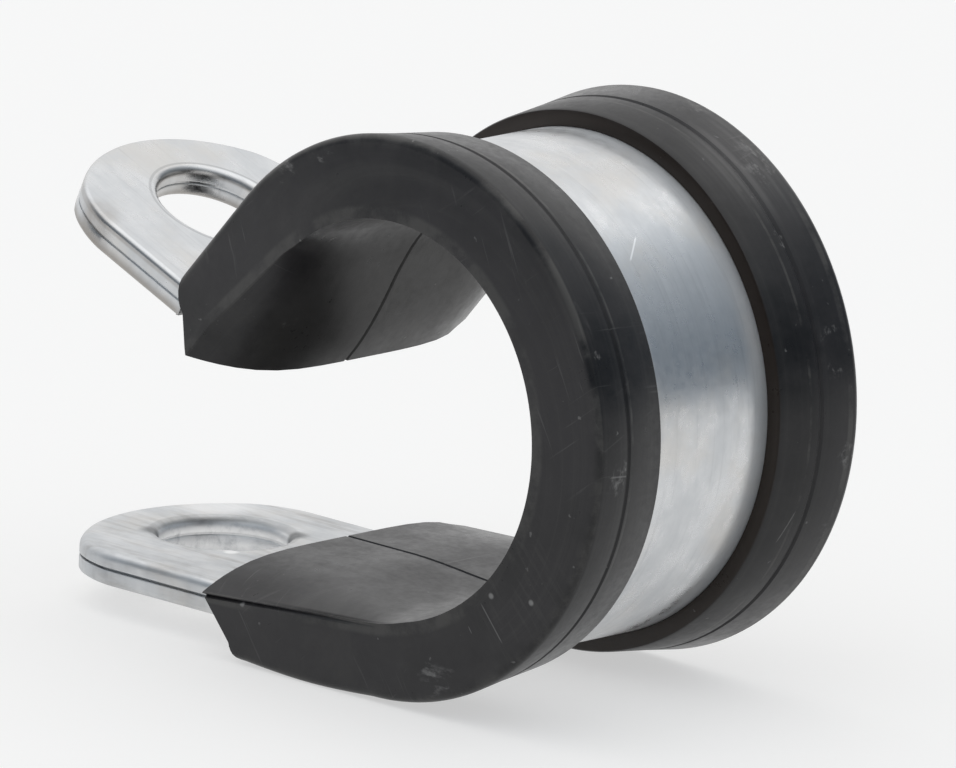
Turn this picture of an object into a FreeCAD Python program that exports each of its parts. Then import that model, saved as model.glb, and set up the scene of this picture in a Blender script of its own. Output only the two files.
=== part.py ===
import FreeCAD, Part
import os
import Sketcher
from math import radians

# Rubber-lined P clip, sprung open as it comes from the bag.
# Frame: +Z up, Y along the cable that it will hold, origin on the axis of the ring.
# The two fixing ears point to -X and the lower ear lies level.

OUT = "parts"
# Two lengths in millimetres closer than this are taken as equal.
SAME = 1e-6

# Driving sizes in millimetres and degrees.
SIZES = {
    # steel strip
    "strip_width": 15.0,
    "strip_thickness": 0.8,
    "layer_gap": 0.1,
    # ring: bore over the rubber, and the rubber between bore and strip
    "bore_diameter": 19.0,
    "ring_pad": 2.0,
    # the foot of the ring runs on a slightly larger arc
    "foot_gain": 0.85,
    "foot_angle": 45.0,
    # upper arm, from the end of the ring to the bend
    "ring_end_angle": 140.0,
    "upper_arm_length": 5.95,
    "bend_inside_radius": 1.2,
    # fixing ears, each folded back on itself at its tip
    "upper_ear_angle": 22.0,
    "upper_ear_length": 12.45,
    "lower_tip_reach": 25.5,
    "ear_end_radius": 8.4,
    "hole_diameter": 6.4,
    "hole_from_tip": 6.35,
    "seam_inset": 0.2,
    "lower_flap_length": 13.8,
    "upper_flap_length": 11.9,
    "tip_round": 0.5,
    # a punched hole is rolled in on top, where the punch goes in, and sharp below
    "hole_entry_round": 0.35,
    "hole_exit_round": 0.1,
    # rubber section: the pad is level round the ring and crowned on the arms
    "liner_width": 18.7,
    "lip_side_width": 17.8,
    "bare_width": 7.9,
    "lip_rise": 1.4,
    "lip_inner_rise": 0.85,
    "lip_corner_round": 0.35,
    "ring_pad_edge": 1.8,
    "ring_shoulder_inset": 0.4,
    "arm_pad": 2.65,
    "arm_pad_edge": 1.0,
    "arm_shoulder": 2.05,
    "arm_shoulder_inset": 1.3,
    "groove_width": 0.3,
    "groove_depth": 0.2,
    "lip_groove_from_middle": 6.55,
    "strip_clearance": 0.03,
    # lengths over which the rubber changes from its ring section to its arm section
    "lower_blend_length": 6.0,
    "upper_blend_length": 6.0,
    # rubber ends, measured along each arm at the middle of the strip
    "lower_end_reach": 10.4,
    "upper_end_reach": 7.3,
    "end_slant": 34.0,
    "crown_slant": 22.0,
    "bend_clearance": 0.2,
}

# Expressions shared by several features. The line is the middle of the strip's thickness.
HALF = "(sizes.strip_thickness / 2)"
EDGE = "(sizes.strip_width / 2)"
STACK = "(2 * sizes.strip_thickness + sizes.layer_gap)"
RING = f"(sizes.bore_diameter / 2 + sizes.ring_pad + {HALF})"
FOOT = f"({RING} + sizes.foot_gain)"
FOOT_X = "(-sizes.foot_gain * cos(sizes.foot_angle))"
FOOT_Z = f"(sizes.foot_gain * sin(sizes.foot_angle) - {FOOT})"
END_X = f"({RING} * cos(sizes.ring_end_angle))"
END_Z = f"({RING} * sin(sizes.ring_end_angle))"
ARM_X = "(-sin(sizes.ring_end_angle))"
ARM_Z = "(cos(sizes.ring_end_angle))"
ARM_HEADING = "(sizes.ring_end_angle + 90)"
BEND = f"(sizes.bend_inside_radius + {HALF})"
BEND_X = f"({END_X} + {ARM_X} * sizes.upper_arm_length + {ARM_Z} * {BEND})"
BEND_Z = f"({END_Z} + {ARM_Z} * sizes.upper_arm_length - {ARM_X} * {BEND})"
EAR_X = f"({BEND_X} - {BEND} * sin(sizes.upper_ear_angle))"
EAR_Z = f"({BEND_Z} - {BEND} * cos(sizes.upper_ear_angle))"
LOWER_EAR = f"(sizes.lower_tip_reach + {FOOT_X})"
EAR_CORNER = f"(sizes.ear_end_radius - sqrt(sizes.ear_end_radius^2 - {EDGE}^2))"

doc = FreeCAD.newDocument("p_clip")
sheet = doc.addObject("Spreadsheet::Sheet", "sizes")
for row, (alias, value) in enumerate(SIZES.items(), 1):
    sheet.set(f"A{row}", alias)
    sheet.set(f"B{row}", str(value))
    sheet.setAlias(f"B{row}", alias)
doc.recompute()


def value_of(expression):
    """The number that an expression of the sheet's sizes gives."""
    return float(sheet.evalExpression(expression))


def new_body(name):
    body = doc.addObject("PartDesign::Body", name)
    body.Label = name
    return body


def new_sketch(body, name, role, base=("0", "0", "0"), axis="z", turn="0"):
    """A sketch on an origin plane of its body, moved by base and turned about its own axis."""
    sketch = body.newObject("Sketcher::SketchObject", name)
    plane = next(part for part in body.Origin.OriginFeatures if part.Role == role)
    sketch.AttachmentSupport = [(plane, "")]
    sketch.MapMode = "FlatFace"
    direction = {"x": (1, 0, 0), "y": (0, 1, 0), "z": (0, 0, 1)}[axis]
    spin = FreeCAD.Rotation(FreeCAD.Vector(*direction), value_of(turn))
    place = FreeCAD.Vector(*[value_of(part) for part in base])
    sketch.AttachmentOffset = FreeCAD.Placement(place, spin)
    for letter, part in zip("xyz", base):
        if part != "0":
            sketch.setExpression(f".AttachmentOffset.Base.{letter}", part)
    if turn != "0":
        sketch.setExpression(".AttachmentOffset.Rotation.Angle", turn)
    return sketch


def bind(sketch, kind, *where, size):
    """Add a dimension to a sketch and bind it to an expression of the sheet's sizes."""
    index = sketch.addConstraint(Sketcher.Constraint(kind, *where, value_of(size)))
    sketch.setExpression(f"Constraints[{index}]", size)


def pin(sketch, geometry, vertex, across, up):
    bind(sketch, "DistanceX", -1, 1, geometry, vertex, size=across)
    bind(sketch, "DistanceY", -1, 1, geometry, vertex, size=up)


def tie(sketch, kind, *where):
    sketch.addConstraint(Sketcher.Constraint(kind, *where))


def point_of(corner):
    return FreeCAD.Vector(value_of(corner[0]), value_of(corner[1]), 0)


def arc_by_angles(centre, radius, start, end):
    circle = Part.Circle(FreeCAD.Vector(*centre, 0), FreeCAD.Vector(0, 0, 1), radius)
    return Part.ArcOfCircle(circle, radians(start), radians(end))


def draw_polygon(sketch, corners):
    """A closed run of straight lines, with each corner pinned by its two expressions."""
    count = len(corners)
    lines = []
    for index, corner in enumerate(corners):
        following = point_of(corners[(index + 1) % count])
        lines.append(sketch.addGeometry(Part.LineSegment(point_of(corner), following)))
    for index, corner in enumerate(corners):
        tie(sketch, "Coincident", lines[index - 1], 2, lines[index], 1)
        pin(sketch, lines[index], 1, *corner)


def draw_ring_line(sketch):
    """The foot arc and the ring arc that the strip follows under the rubber."""
    meet = -value_of("sizes.foot_angle")
    foot_centre = (value_of(FOOT_X), value_of(f"{FOOT_Z} + {FOOT}"))
    foot = sketch.addGeometry(arc_by_angles(foot_centre, value_of(FOOT), -90, meet))
    ring_end = value_of("sizes.ring_end_angle")
    ring = sketch.addGeometry(arc_by_angles((0, 0), value_of(RING), meet, ring_end))
    tie(sketch, "Coincident", ring, 3, -1, 1)
    tie(sketch, "Tangent", foot, 2, ring, 1)
    bind(sketch, "Radius", foot, size=FOOT)
    bind(sketch, "Radius", ring, size=RING)
    bind(sketch, "DistanceX", -1, 1, ring, 1, size=f"{RING} * cos(sizes.foot_angle)")
    bind(sketch, "DistanceX", -1, 1, ring, 2, size=END_X)
    bind(sketch, "DistanceX", -1, 1, foot, 1, size=FOOT_X)
    return foot, ring


def draw_strip_line(sketch):
    """The strip's whole line: lower ear and arm, foot, ring, upper arm, bend, upper ear."""
    tip = point_of(("-sizes.lower_tip_reach", FOOT_Z))
    lower = sketch.addGeometry(Part.LineSegment(tip, point_of((FOOT_X, FOOT_Z))))
    foot, ring = draw_ring_line(sketch)
    start = point_of((END_X, END_Z))
    stop = start + point_of((ARM_X, ARM_Z)) * value_of("sizes.upper_arm_length")
    arm = sketch.addGeometry(Part.LineSegment(start, stop))
    first = value_of("270 - sizes.upper_ear_angle")
    last = value_of(f"{ARM_HEADING} + 90")
    centre = (value_of(BEND_X), value_of(BEND_Z))
    bend = sketch.addGeometry(arc_by_angles(centre, value_of(BEND), first, last))
    ear_start = point_of((EAR_X, EAR_Z))
    ear_tip_x = f"{EAR_X} - sizes.upper_ear_length * cos(sizes.upper_ear_angle)"
    ear_tip_z = f"{EAR_Z} + sizes.upper_ear_length * sin(sizes.upper_ear_angle)"
    ear = sketch.addGeometry(Part.LineSegment(ear_start, point_of((ear_tip_x, ear_tip_z))))
    tie(sketch, "Tangent", lower, 2, foot, 1)
    bind(sketch, "DistanceX", -1, 1, lower, 1, size="-sizes.lower_tip_reach")
    tie(sketch, "Tangent", ring, 2, arm, 1)
    bind(sketch, "Distance", arm, size="sizes.upper_arm_length")
    tie(sketch, "Tangent", arm, 2, bend, 2)
    bind(sketch, "Radius", bend, size=BEND)
    tie(sketch, "Tangent", bend, 1, ear, 1)
    bind(sketch, "Distance", ear, size="sizes.upper_ear_length")
    bind(sketch, "DistanceX", -1, 1, ear, 2, size=ear_tip_x)


def sweep_along(body, name, profile, spine):
    """Carry a profile along a line that stays in the XZ plane."""
    edges = [f"Edge{number + 1}" for number in range(spine.GeometryCount)]
    pipe = body.newObject("PartDesign::AdditivePipe", name)
    pipe.Profile = profile
    pipe.Spine = (spine, edges)
    pipe.Mode = "Standard"
    doc.recompute()


def across_width(feature, profile, width):
    """Give a pad or pocket its profile and the same depth on both sides of it."""
    feature.Profile = profile
    feature.Type = "Length"
    feature.Midplane = True
    feature.Length = value_of(width)
    feature.setExpression("Length", width)
    return feature


# The band: one strip of plated steel bent to a ring, with an ear at each end.
# It is rolled flat at the ears and each end is folded back over itself.

def draw_flap(sketch, length, flap, side):
    """Side view of the folded-back layer, joined to the ear at the tip."""
    near = f"({side} * {HALF})"
    under = f"({side} * ({HALF} + sizes.layer_gap))"
    over = f"({side} * ({STACK} - {HALF}))"
    neck = f"({length} - {EAR_CORNER} - sizes.seam_inset)"
    back = f"({length} - {flap})"
    draw_polygon(sketch, [(length, near), (neck, near), (neck, under),
                          (back, under), (back, over), (length, over)])


def draw_ear_trim(sketch, length):
    """What is cut away outside the ear's round end, seen on its face, tip to the left."""
    corner = f"(-{length} + {EAR_CORNER})"
    beyond = f"(-{length} - sizes.ear_end_radius)"
    outside = f"({EDGE} + sizes.ear_end_radius)"
    corners = [(corner, EDGE), (corner, outside), (beyond, outside),
               (beyond, f"-{outside}"), (corner, f"-{outside}"), (corner, f"-{EDGE}")]
    lines = []
    for start, end in zip(corners, corners[1:]):
        lines.append(sketch.addGeometry(Part.LineSegment(point_of(start), point_of(end))))
    radius = value_of("sizes.ear_end_radius")
    spread = value_of(f"asin({EDGE} / sizes.ear_end_radius)")
    centre = (value_of(f"sizes.ear_end_radius - {length}"), 0)
    arc = sketch.addGeometry(arc_by_angles(centre, radius, 180 - spread, 180 + spread))
    for before, after in zip(lines, lines[1:]):
        tie(sketch, "Coincident", before, 2, after, 1)
    tie(sketch, "Coincident", lines[-1], 2, arc, 2)
    tie(sketch, "Coincident", arc, 1, lines[0], 1)
    bind(sketch, "Radius", arc, size="sizes.ear_end_radius")
    for line, start in zip(lines, corners):
        pin(sketch, line, 1, *start)
    pin(sketch, lines[-1], 2, *corners[-1])


def draw_hole(sketch, length):
    centre = (f"(sizes.hole_from_tip - {length})", "0")
    radius = value_of("sizes.hole_diameter / 2")
    circle = Part.Circle(point_of(centre), FreeCAD.Vector(0, 0, 1), radius)
    hole = sketch.addGeometry(circle)
    tie(sketch, "PointOnObject", hole, 3, -1)
    bind(sketch, "DistanceX", -1, 1, hole, 3, size=centre[0])
    bind(sketch, "Diameter", hole, size="sizes.hole_diameter")


def add_ear(body, name, base, angle, length, flap, side):
    """Fold the strip's end over, trim it round and punch the hole through both layers."""
    side_view = new_sketch(body, f"{name}_flap_side", "XZ_Plane", (*base, "0"),
                           "z", f"180 - {angle}")
    draw_flap(side_view, length, flap, side)
    across_width(body.newObject("PartDesign::Pad", f"{name}_flap"), side_view,
                 "sizes.strip_width")
    doc.recompute()
    depth = f"4 * {STACK}"
    for what, draw in (("trim", draw_ear_trim), ("hole", draw_hole)):
        face = new_sketch(body, f"{name}_{what}_outline", "XY_Plane",
                          (base[0], "0", base[1]), "y", angle)
        draw(face, length)
        across_width(body.newObject("PartDesign::Pocket", f"{name}_{what}"), face, depth)
        doc.recompute()


def face_circles(shape, base, angle, size):
    """Names of the circular edges of one radius on an ear's upper and on its under face."""
    normal = FreeCAD.Vector(value_of(f"sin({angle})"), 0, value_of(f"cos({angle})"))
    start = FreeCAD.Vector(value_of(base[0]), 0, value_of(base[1]))
    radius = value_of(size)
    reach = value_of(STACK)
    found = []
    for number, edge in enumerate(shape.Edges, 1):
        if not isinstance(edge.Curve, Part.Circle) or abs(edge.Curve.Radius - radius) > SAME:
            continue
        if abs(edge.Curve.Axis.dot(normal)) < 1 - SAME:
            continue
        height = (edge.Curve.Center - start).dot(normal)
        if abs(height) < reach:
            found.append((height, f"Edge{number}"))
    lowest = min(height for height, _ in found)
    highest = max(height for height, _ in found)
    upper = [edge for height, edge in found if highest - height < SAME]
    under = [edge for height, edge in found if height - lowest < SAME]
    return upper, under


def round_edges(body, name, size, edges):
    before = body.Tip
    fillet = body.newObject("PartDesign::Fillet", name)
    fillet.Base = (before, edges)
    fillet.Radius = value_of(size)
    fillet.setExpression("Radius", size)
    doc.recompute()


def circles_of_both(body, ears, size):
    """The circular edges of both ears, those on the upper faces and those on the under faces."""
    upper = []
    under = []
    for name, base, angle, *rest in ears:
        above, below = face_circles(body.Tip.Shape, base, angle, size)
        upper += above
        under += below
    return upper, under


def make_band():
    body = new_body("steel_band")
    line = new_sketch(body, "band_line", "XZ_Plane")
    draw_strip_line(line)
    section = new_sketch(body, "strip_section", "YZ_Plane",
                         ("0", FOOT_Z, "-sizes.lower_tip_reach"))
    draw_polygon(section, [(f"-{EDGE}", f"-{HALF}"), (EDGE, f"-{HALF}"),
                           (EDGE, HALF), (f"-{EDGE}", HALF)])
    doc.recompute()
    sweep_along(body, "bent_strip", section, line)
    ears = (("lower_ear", (FOOT_X, FOOT_Z), "0", LOWER_EAR, "sizes.lower_flap_length", "-1"),
            ("upper_ear", (EAR_X, EAR_Z), "sizes.upper_ear_angle", "sizes.upper_ear_length",
             "sizes.upper_flap_length", "1"))
    for ear in ears:
        add_ear(body, *ear)
    hole = "sizes.hole_diameter / 2"
    upper, under = circles_of_both(body, ears, hole)
    round_edges(body, "hole_entry_rounding", "sizes.hole_entry_round", upper)
    upper, under = circles_of_both(body, ears, hole)
    round_edges(body, "hole_exit_rounding", "sizes.hole_exit_round", under)
    upper, under = circles_of_both(body, ears, "sizes.ear_end_radius")
    round_edges(body, "tip_rounding", "sizes.tip_round", upper + under)
    return body


# The liner: one moulded rubber profile wrapped round the band.
# A crowned pad lines the bore and two lips close over the edges of the strip.

# The size that gives the pad's height at its shoulder: on the ring the pad is level.
SHOULDER = {"ring": "ring_pad", "arm": "arm_shoulder"}


def half_section(kind):
    """Corners of the right half, from the groove in the pad's middle to the strip's slot.

    The second value is the corner's place in that list where the round of the lip starts.
    """
    groove = "(sizes.groove_width / 2)"
    pad = f"({HALF} + sizes.{kind}_pad)"
    rim = "(sizes.liner_width / 2)"
    side = "(sizes.lip_side_width / 2)"
    bare = "(sizes.bare_width / 2)"
    lip = f"({HALF} + sizes.lip_rise)"
    lip_inner = f"({HALF} + sizes.lip_inner_rise)"
    turn = f"({side} - sizes.lip_corner_round)"
    slope = f"(({lip} - {lip_inner}) / ({turn} - {bare}))"
    middle = "sizes.lip_groove_from_middle"
    floor = f"({HALF} + sizes.strip_clearance)"
    slot = f"({EDGE} + sizes.strip_clearance)"

    def lip_height(across):
        return f"(-{lip_inner} - ({across} - {bare}) * {slope})"

    before = f"({middle} + {groove})"
    after = f"({middle} - {groove})"
    shoulder = f"({rim} - sizes.{kind}_shoulder_inset)"
    shoulder_height = f"({HALF} + sizes.{SHOULDER[kind]})"
    # half way out, a round crown has lost a quarter of its fall
    crown_fall = f"(({pad} - {shoulder_height}) / 4)"
    lip_corner = (side, f"(sizes.lip_corner_round - {lip})")
    corners = [
        (groove, pad),
        (f"({shoulder} / 2)", f"({pad} - {crown_fall})"),
        (shoulder, shoulder_height),
        (rim, f"({HALF} + sizes.{kind}_pad_edge)"),
        lip_corner,
        (turn, f"-{lip}"),
        (before, lip_height(before)),
        (middle, f"({lip_height(middle)} + sizes.groove_depth)"),
        (after, lip_height(after)),
        (bare, f"-{lip_inner}"),
        (bare, f"-{floor}"),
        (slot, f"-{floor}"),
        (slot, floor),
    ]
    return corners, corners.index(lip_corner)


def draw_liner_section(sketch, kind):
    """The whole profile: width across, height towards the cable."""
    right, lip_corner = half_section(kind)
    left = [(f"-{across}", up) for across, up in reversed(right)]
    bottom = ("0", f"({HALF} + sizes.{kind}_pad - sizes.groove_depth)")
    corners = right + left + [bottom]
    count = len(corners)
    rounds = (lip_corner, len(right) + len(left) - 2 - lip_corner)
    pieces = []
    for index, corner in enumerate(corners):
        start = point_of(corner)
        end = point_of(corners[(index + 1) % count])
        if index in rounds:
            pieces.append(corner_arc(sketch, start, end, index == rounds[0]))
        else:
            pieces.append((sketch.addGeometry(Part.LineSegment(start, end)), 1, 2))
    for index, corner in enumerate(corners):
        geometry, first, _ = pieces[index]
        before, _, last = pieces[index - 1]
        tie(sketch, "Coincident", before, last, geometry, first)
        pin(sketch, geometry, first, *corner)
    for index in rounds:
        bind(sketch, "Radius", pieces[index][0], size="sizes.lip_corner_round")


def corner_arc(sketch, start, end, right_side):
    """A quarter turn at the outer corner of a lip."""
    radius = value_of("sizes.lip_corner_round")
    if right_side:
        arc = sketch.addGeometry(arc_by_angles((end.x, start.y), radius, -90, 0))
        return arc, 2, 1
    arc = sketch.addGeometry(arc_by_angles((start.x, end.y), radius, 180, 270))
    return arc, 2, 1


def section_on_lower_arm(body, name, reach, kind):
    sketch = new_sketch(body, name, "YZ_Plane", ("0", FOOT_Z, f"-({reach})"))
    draw_liner_section(sketch, kind)
    return sketch


def section_on_upper_arm(body, name, along, kind):
    base = ("0", f"{END_Z} + {ARM_Z} * ({along})", f"{END_X} + {ARM_X} * ({along})")
    sketch = new_sketch(body, name, "YZ_Plane", base, "x", f"-{ARM_HEADING}")
    draw_liner_section(sketch, kind)
    return sketch


def loft_through(body, name, sections):
    """Straight blends from one section to the next along an arm."""
    loft = body.newObject("PartDesign::AdditiveLoft", name)
    loft.Profile = sections[0]
    loft.Sections = sections[1:]
    loft.Ruled = True
    doc.recompute()


def cut_end(body, name, base, heading, reach, side):
    """Trim the end of an arm: slanted through the lips, and back again over the crown."""
    nose_height = f"({HALF} + sizes.arm_pad_edge)"
    nose = f"({reach} + {nose_height} * tan(sizes.end_slant))"
    deep = f"(2 * ({HALF} + sizes.lip_rise))"
    tall = f"(2 * ({HALF} + sizes.arm_pad))"
    far = f"({nose} + {tall} + {deep})"
    low_cut = f"({reach} - {deep} * tan(sizes.end_slant))"
    high_cut = f"({nose} - ({tall} - {nose_height}) * tan(sizes.crown_slant))"
    sketch = new_sketch(body, f"{name}_line", "XZ_Plane", (*base, "0"), "z", heading)
    draw_polygon(sketch, [(low_cut, f"-{side} * {deep}"), (nose, f"{side} * {nose_height}"),
                          (high_cut, f"{side} * {tall}"), (far, f"{side} * {tall}"),
                          (far, f"-{side} * {deep}")])
    across_width(body.newObject("PartDesign::Pocket", name), sketch, "2 * sizes.liner_width")
    doc.recompute()


def clear_bend(body):
    """Room for the band to turn out of the rubber into its upper ear."""
    start = "(sizes.upper_arm_length - sizes.bend_clearance)"
    far = f"({start} + 2 * {STACK} + 2 * {BEND})"
    top = f"({HALF} + sizes.strip_clearance)"
    deep = f"(-2 * ({HALF} + sizes.lip_rise))"
    sketch = new_sketch(body, "bend_room_line", "XZ_Plane", (END_X, END_Z, "0"),
                        "z", ARM_HEADING)
    draw_polygon(sketch, [(start, deep), (far, deep), (far, top), (start, top)])
    across_width(body.newObject("PartDesign::Pocket", "bend_room"), sketch,
                 "sizes.strip_width + 2 * sizes.strip_clearance")
    doc.recompute()


def make_liner():
    body = new_body("rubber_liner")
    line = new_sketch(body, "ring_line", "XZ_Plane")
    draw_ring_line(line)
    foot_base = new_sketch(body, "foot_section", "YZ_Plane", ("0", FOOT_Z, FOOT_X))
    draw_liner_section(foot_base, "ring")
    doc.recompute()
    sweep_along(body, "ring_rubber", foot_base, line)
    margin = "(2 * sizes.arm_pad)"
    foot_reach = "sizes.foot_gain * cos(sizes.foot_angle)"
    loft_through(body, "lower_arm_rubber", [
        section_on_lower_arm(body, "lower_start_section", foot_reach, "ring"),
        section_on_lower_arm(body, "lower_arm_section",
                             f"{foot_reach} + sizes.lower_blend_length", "arm"),
        section_on_lower_arm(body, "lower_end_section",
                             f"sizes.lower_end_reach + {margin}", "arm")])
    loft_through(body, "upper_arm_rubber", [
        section_on_upper_arm(body, "upper_start_section", "0", "ring"),
        section_on_upper_arm(body, "upper_arm_section", "sizes.upper_blend_length", "arm"),
        section_on_upper_arm(body, "upper_end_section",
                             f"sizes.upper_end_reach + {margin}", "arm")])
    cut_end(body, "lower_end_cut", ("0", FOOT_Z), "180", "sizes.lower_end_reach", "-1")
    cut_end(body, "upper_end_cut", (END_X, END_Z), ARM_HEADING, "sizes.upper_end_reach", "1")
    clear_bend(body)
    return body


def check_objects():
    """Stop if any object of the document failed."""
    for item in doc.Objects:
        if "Invalid" in item.State or "Error" in item.State:
            raise RuntimeError(f"{item.Name}: {item.getStatusString()}")


def write_step(body):
    shape = body.Shape
    if shape.isNull() or not shape.isValid() or len(shape.Solids) != 1:
        raise RuntimeError(f"{body.Label} is not one valid solid")
    print(body.Label, "volume", round(shape.Volume, 2), shape.optimalBoundingBox(False))
    shape.exportStep(os.path.join(OUT, f"{body.Label}.step"))


bodies = [make_band(), make_liner()]
doc.recompute()
check_objects()
os.makedirs(OUT, exist_ok=True)
for made in bodies:
    write_step(made)
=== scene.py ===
from math import atan2, cos, degrees, hypot, pi, radians, sin, sqrt, tan

import bmesh
import bpy
from mathutils import Matrix, Vector


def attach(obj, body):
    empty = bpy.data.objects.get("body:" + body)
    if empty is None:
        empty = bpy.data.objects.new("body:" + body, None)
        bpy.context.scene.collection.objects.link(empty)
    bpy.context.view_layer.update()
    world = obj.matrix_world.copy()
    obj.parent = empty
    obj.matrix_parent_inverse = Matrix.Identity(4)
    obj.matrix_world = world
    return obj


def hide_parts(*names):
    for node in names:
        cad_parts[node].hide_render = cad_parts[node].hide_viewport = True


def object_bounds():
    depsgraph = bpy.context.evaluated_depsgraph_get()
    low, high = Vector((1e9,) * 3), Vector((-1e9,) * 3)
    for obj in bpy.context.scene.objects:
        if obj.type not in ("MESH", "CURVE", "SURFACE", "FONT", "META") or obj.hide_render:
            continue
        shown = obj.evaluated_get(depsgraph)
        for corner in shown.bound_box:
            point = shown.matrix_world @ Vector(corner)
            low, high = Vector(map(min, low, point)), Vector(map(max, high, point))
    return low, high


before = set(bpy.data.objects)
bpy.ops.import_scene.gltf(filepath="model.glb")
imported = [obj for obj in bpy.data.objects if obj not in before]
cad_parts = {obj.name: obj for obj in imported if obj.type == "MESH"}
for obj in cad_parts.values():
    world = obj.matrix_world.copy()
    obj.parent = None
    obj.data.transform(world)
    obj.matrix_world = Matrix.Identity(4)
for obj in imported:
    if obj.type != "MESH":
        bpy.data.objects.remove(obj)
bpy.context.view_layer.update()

# Steel band: one strip of zinc-plated steel, 15 mm wide and 0.8 mm thick, bent to an open ring.
# Each end is folded back on itself, trimmed round at the tip and punched for an M6 screw.
# The strip is drawn from the lower ear's tip, round the ring, to the upper ear's tip.
mm = 0.001
strip_width = 15.0 * mm
strip_thickness = 0.8 * mm
layer_gap = 0.1 * mm
ring_radius = 11.9 * mm
foot_gain = 0.85 * mm
foot_radius = ring_radius + foot_gain
foot_degrees = 45.0
ring_end_degrees = 140.0
foot_centre = Vector((-foot_gain * cos(radians(foot_degrees)), 0, foot_gain * sin(radians(foot_degrees))))
foot_level = foot_centre.z - foot_radius
upper_arm_length = 5.95 * mm
bend_radius = 1.6 * mm
upper_ear_degrees = 22.0
bend_degrees = ring_end_degrees - 90 + upper_ear_degrees
foot_steps = 24
ring_steps = 120
bend_steps = 24
upper_ear_length = 12.05 * mm
lower_tip_x = -25.2 * mm
tip_radius = 8.4 * mm
hole_radius = 3.2 * mm
lower_hole_x = -19.15 * mm
upper_hole_reach = 6.1 * mm
lower_flap_length = 13.5 * mm
upper_flap_length = 11.5 * mm
end_piece = 11.0 * mm
layer_step = strip_thickness + layer_gap
far_trim = 0.8 * mm
corner_round = 1.7 * mm
edge_round = 0.26 * mm
lower_fold_round = 0.45 * mm
seam_round = 0.07 * mm
hole_entry_round = 0.38 * mm
upper_hole_exit_round = 0.4 * mm
lower_hole_entry_round = 0.5 * mm
hole_exit_round = 0.12 * mm
hole_margin = 1.0 * mm
lower_seam_inset = 0.25 * mm
upper_seam_inset = 0.08 * mm
web_overlap = 0.04 * mm
web_hole_gain = 0.05 * mm
close_by = 0.02 * mm
ear_divide = -4 * mm
sharp_turn = radians(50)
band_smooth_turn = radians(32)


def take(piece):
    """Make one object the only one that the next operators work on."""
    bpy.ops.object.select_all(action="DESELECT")
    piece.select_set(True)
    bpy.context.view_layer.objects.active = piece


def edit(piece, kind):
    """Open one object in edit mode with nothing selected. Kind is VERT, EDGE or FACE."""
    take(piece)
    bpy.ops.object.mode_set(mode="EDIT")
    bpy.ops.mesh.select_mode(type=kind)
    bpy.ops.mesh.select_all(action="DESELECT")


def mark(piece, kind, test):
    """In edit mode, select only the vertices, edges or faces that pass a test."""
    bpy.ops.mesh.select_mode(type=kind)
    bpy.ops.mesh.select_all(action="DESELECT")
    shape = bmesh.from_edit_mesh(piece.data)
    found = {"VERT": shape.verts, "EDGE": shape.edges, "FACE": shape.faces}[kind]
    for part in found:
        if test(part):
            part.select_set(True)
    bmesh.update_edit_mesh(piece.data)


def pull(move):
    """Extrude what is selected along a vector."""
    bpy.ops.mesh.extrude_region_move(TRANSFORM_OT_translate={"value": move})


def turn(centre, degrees_round, steps):
    """Extrude what is selected round an axis along Y, from +X towards +Z where the angle is positive."""
    bpy.ops.mesh.spin(steps=steps, angle=radians(degrees_round), center=centre, axis=(0, 1, 0))


def plane_cut(point, normal):
    """In edit mode, cut off what lies on the normal's side of a plane, and close the cut."""
    bpy.ops.mesh.select_all(action="SELECT")
    bpy.ops.mesh.bisect(plane_co=point, plane_no=normal, clear_outer=True, use_fill=True, threshold=1e-7)


def rounded_end(name, tip, level, radius, half_width, thickness):
    """A flat piece of strip with a round tip towards -X, cut straight across on its other end."""
    bpy.ops.object.select_all(action="DESELECT")
    bpy.ops.mesh.primitive_cylinder_add(vertices=240, radius=radius, depth=thickness,
                                        location=(tip + radius, -far_trim / 2, level))
    piece = bpy.context.object
    piece.name = name
    bpy.ops.object.transform_apply(location=True, rotation=True, scale=True)
    bpy.ops.object.mode_set(mode="EDIT")
    plane_cut((0, half_width - far_trim, 0), (0, 1, 0))
    plane_cut((0, -half_width, 0), (0, -1, 0))
    plane_cut((tip + end_piece, 0, 0), (1, 0, 0))
    corner_side = half_width - far_trim / 2
    corner_x = tip + radius - sqrt(radius ** 2 - corner_side ** 2)

    def from_corner(edge):
        place = edge.verts[0].co
        return hypot(place.x - corner_x, abs(place.y + far_trim / 2) - corner_side)

    def upright(edge):
        return abs(edge.verts[0].co.z - edge.verts[1].co.z) > thickness * 0.9

    mark(piece, "EDGE", lambda edge: upright(edge)
         and close_by < from_corner(edge) < corner_round + 0.05 * mm)
    bpy.ops.mesh.dissolve_edges(use_verts=True)
    mark(piece, "EDGE", lambda edge: upright(edge) and from_corner(edge) < close_by)
    bpy.ops.mesh.bevel(offset_type="OFFSET", offset=corner_round, segments=12, affect="EDGES")
    mark(piece, "FACE", lambda face: face.normal.x > 0.99)
    return piece


def cut_away(piece, tool):
    """Cut one object's shape out of another, and drop the tool."""
    take(piece)
    cut = piece.modifiers.new("cut", "BOOLEAN")
    cut.operation = "DIFFERENCE"
    cut.solver = "EXACT"
    cut.object = tool
    bpy.ops.object.modifier_apply(modifier=cut.name)
    bpy.data.objects.remove(tool)


def bore(piece, centre, radius, normal):
    """Punch a round hole through a piece."""
    bpy.ops.object.select_all(action="DESELECT")
    lean = atan2(normal.x, normal.z)
    bpy.ops.mesh.primitive_cylinder_add(vertices=160, radius=radius, depth=12 * mm, location=centre,
                                        rotation=(0, lean, 0))
    cut_away(piece, bpy.context.object)


def set_at(piece, base, lean):
    """Turn a level piece about the origin and carry it to its place, then settle that in its mesh."""
    take(piece)
    piece.rotation_euler = (0, radians(lean), 0)
    piece.location = base
    bpy.ops.object.transform_apply(location=True, rotation=True, scale=True)


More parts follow.
